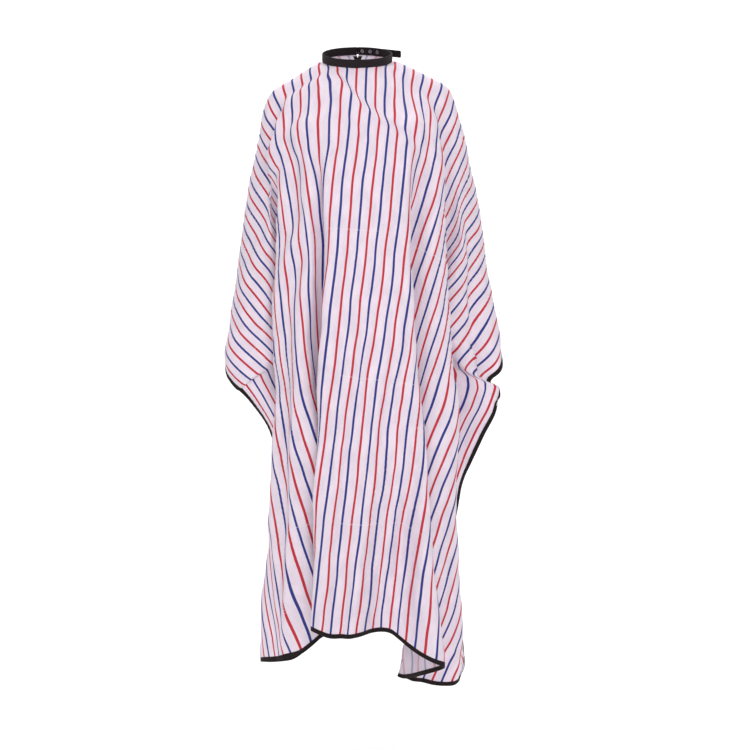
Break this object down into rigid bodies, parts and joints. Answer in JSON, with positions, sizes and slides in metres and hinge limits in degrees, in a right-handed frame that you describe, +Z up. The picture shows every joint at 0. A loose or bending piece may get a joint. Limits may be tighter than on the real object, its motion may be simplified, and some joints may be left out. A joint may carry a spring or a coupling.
{
  "type": "barber cape",
  "caption": "Long cloth cape with a tilted round neck band, a back slit, taped edges and a snap strap behind the neck, draped in vertical folds.",
  "frame": {"origin": "centre of the neck opening, half way up the neck band, on the band's axis", "axes": "+Z up, -Y the front of the wearer, +X the wearer's left. The cape is drawn as it hangs from a neck, with the band's axis leaning 23 degrees forward."},
  "size_m": [0.6214, 0.3901, 1.4419],
  "materials": {
    "striped_cloth": "light woven polyester, white with thin red and navy stripes",
    "black_tape": "matt woven bias tape",
    "black_webbing": "matt folded cloth strap",
    "interlining": "stiff non-woven strip",
    "snap_metal": "nickel-plated",
    "snap_caps": "black enamel",
    "black_thread": "polyester sewing thread"
  },
  "bodies": {
    "cape": {"cape_panel": "striped_cloth", "hem_binding": "black_tape", "slit_binding_left": "black_tape", "slit_binding_right": "black_tape", "neck_band": "black_tape", "neck_interlining": "interlining", "closure_strap_root": "black_webbing", "snap_sockets": "snap_metal", "snap_socket_caps": "snap_metal", "neck_stitching": "black_thread", "bar_tacks": "black_thread"},
    "strap": {"closure_strap": "black_webbing", "snap_studs": "snap_metal", "snap_stud_caps": "snap_caps", "strap_stitching": "black_thread"},
    "tail": {"closure_strap_tail": "black_webbing", "tail_stitching": "black_thread"}
  },
  "joints": [
    {"name": "strap_peel", "type": "hinge", "parent": "cape", "child": "strap", "pos_m": [-0.00708, 0.07446, 0.03161], "axis": [0, -0.3907, 0.9205], "range_deg": [0, 100]},
    {"name": "strap_tail_flex", "type": "hinge", "parent": "strap", "child": "tail", "pos_m": [0.0406, 0.06473, 0.02748], "axis": [0, -0.3907, 0.9205], "range_deg": [0, 60]}
  ]
}
